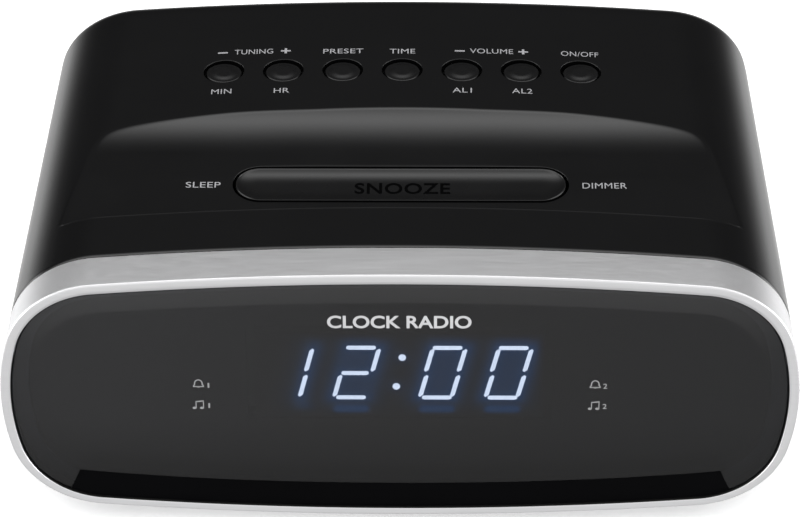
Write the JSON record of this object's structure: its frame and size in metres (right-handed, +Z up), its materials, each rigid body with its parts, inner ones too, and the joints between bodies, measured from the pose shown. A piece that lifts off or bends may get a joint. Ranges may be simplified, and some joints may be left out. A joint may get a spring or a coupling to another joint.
{
  "type": "clock radio",
  "caption": "Bedside clock radio: tapered glossy case with silver front bezel, smoked display window, snooze bar, round keys, down-firing speaker and battery bay.",
  "frame": {"origin": "middle of the footprint, on the surface the rubber feet stand on", "axes": "+X to the right seen from the front, +Y to the back, +Z up; the display faces -Y"},
  "size_m": [0.1398, 0.092, 0.0564],
  "materials": {
    "gloss_black_abs": "high gloss",
    "matte_black_abs": "fine texture",
    "brushed_silver": "silver lacquer with fine horizontal brushing",
    "smoked_acrylic": "polished smoke-tinted",
    "inner_black_plastic": "moulded",
    "circuit_board": "solder mask",
    "switch_body": "moulded",
    "switch_plunger": "moulded",
    "steel": "plated",
    "lamination_steel": "varnished",
    "coil_tape": "polyester tape",
    "cone_paper": "pulp",
    "rubber": "matte",
    "capacitor_sleeve": "shrink sleeve",
    "display_face": "moulded",
    "ribbon": "flexible"
  },
  "bodies": {
    "case": {"battery_bridge": "steel", "battery_spring": "steel", "battery_terminal": "steel", "bottom_housing": "matte_black_abs", "case_screw_front_left": "steel", "case_screw_front_right": "steel", "case_screw_rear_left": "steel", "case_screw_rear_right": "steel", "cord_grommet": "rubber", "display_board": "circuit_board", "display_frame": "inner_black_plastic", "display_module": "display_face", "display_ribbon": "ribbon", "filter_capacitor": "capacitor_sleeve", "foot_front_left": "rubber", "foot_front_right": "rubber", "foot_rear_left": "rubber", "foot_rear_right": "rubber", "front_bezel": "brushed_silver", "front_window": "smoked_acrylic", "key_board": "circuit_board", "key_ribbon": "ribbon", "main_board": "circuit_board", "power_switch": "switch_body", "preset_switch": "switch_body", "snooze_spring_left": "steel", "snooze_spring_right": "steel", "snooze_switch_left": "switch_body", "snooze_switch_right": "switch_body", "speaker_cone": "cone_paper", "speaker_frame": "steel", "speaker_magnet": "lamination_steel", "time_switch": "switch_body", "top_housing": "gloss_black_abs", "transformer_coil": "coil_tape", "transformer_core": "lamination_steel", "transformer_strap": "steel", "tuner_shield": "steel", "tuning_down_switch": "switch_body", "tuning_up_switch": "switch_body", "volume_down_switch": "switch_body", "volume_up_switch": "switch_body"},
    "tuning_down": {"tuning_down_button": "gloss_black_abs", "tuning_down_plunger": "switch_plunger"},
    "tuning_up": {"tuning_up_button": "gloss_black_abs", "tuning_up_plunger": "switch_plunger"},
    "preset": {"preset_button": "gloss_black_abs", "preset_plunger": "switch_plunger"},
    "time": {"time_button": "gloss_black_abs", "time_plunger": "switch_plunger"},
    "volume_down": {"volume_down_button": "gloss_black_abs", "volume_down_plunger": "switch_plunger"},
    "volume_up": {"volume_up_button": "gloss_black_abs", "volume_up_plunger": "switch_plunger"},
    "power": {"power_button": "gloss_black_abs", "power_plunger": "switch_plunger"},
    "snooze": {"snooze_bar": "gloss_black_abs", "snooze_plunger_left": "switch_plunger", "snooze_plunger_right": "switch_plunger"},
    "battery_door": {"battery_door": "matte_black_abs"}
  },
  "joints": [
    {"name": "tuning_down_press", "type": "slide", "parent": "case", "child": "tuning_down", "axis": [0, 0, -1], "range_m": [0, 0.0005], "stiffness_N_per_m": 400, "springref_m": -0.0004},
    {"name": "tuning_up_press", "type": "slide", "parent": "case", "child": "tuning_up", "axis": [0, 0, -1], "range_m": [0, 0.0005], "stiffness_N_per_m": 400, "springref_m": -0.0004},
    {"name": "preset_press", "type": "slide", "parent": "case", "child": "preset", "axis": [0, 0, -1], "range_m": [0, 0.0005], "stiffness_N_per_m": 400, "springref_m": -0.0004},
    {"name": "time_press", "type": "slide", "parent": "case", "child": "time", "axis": [0, 0, -1], "range_m": [0, 0.0005], "stiffness_N_per_m": 400, "springref_m": -0.0004},
    {"name": "volume_down_press", "type": "slide", "parent": "case", "child": "volume_down", "axis": [0, 0, -1], "range_m": [0, 0.0005], "stiffness_N_per_m": 400, "springref_m": -0.0004},
    {"name": "volume_up_press", "type": "slide", "parent": "case", "child": "volume_up", "axis": [0, 0, -1], "range_m": [0, 0.0005], "stiffness_N_per_m": 400, "springref_m": -0.0004},
    {"name": "power_press", "type": "slide", "parent": "case", "child": "power", "axis": [0, 0, -1], "range_m": [0, 0.0005], "stiffness_N_per_m": 400, "springref_m": -0.0004},
    {"name": "snooze_press", "type": "slide", "parent": "case", "child": "snooze", "axis": [0, 0, -1], "range_m": [0, 0.0008], "stiffness_N_per_m": 500, "springref_m": -0.0006, "deforming": ["snooze_spring_left", "snooze_spring_right"]},
    {"name": "battery_door_hinge", "type": "hinge", "parent": "case", "child": "battery_door", "pos_m": [-0.00215, -0.0035, 0.002], "axis": [0, 1, 0], "range_deg": [0, 80]}
  ]
}
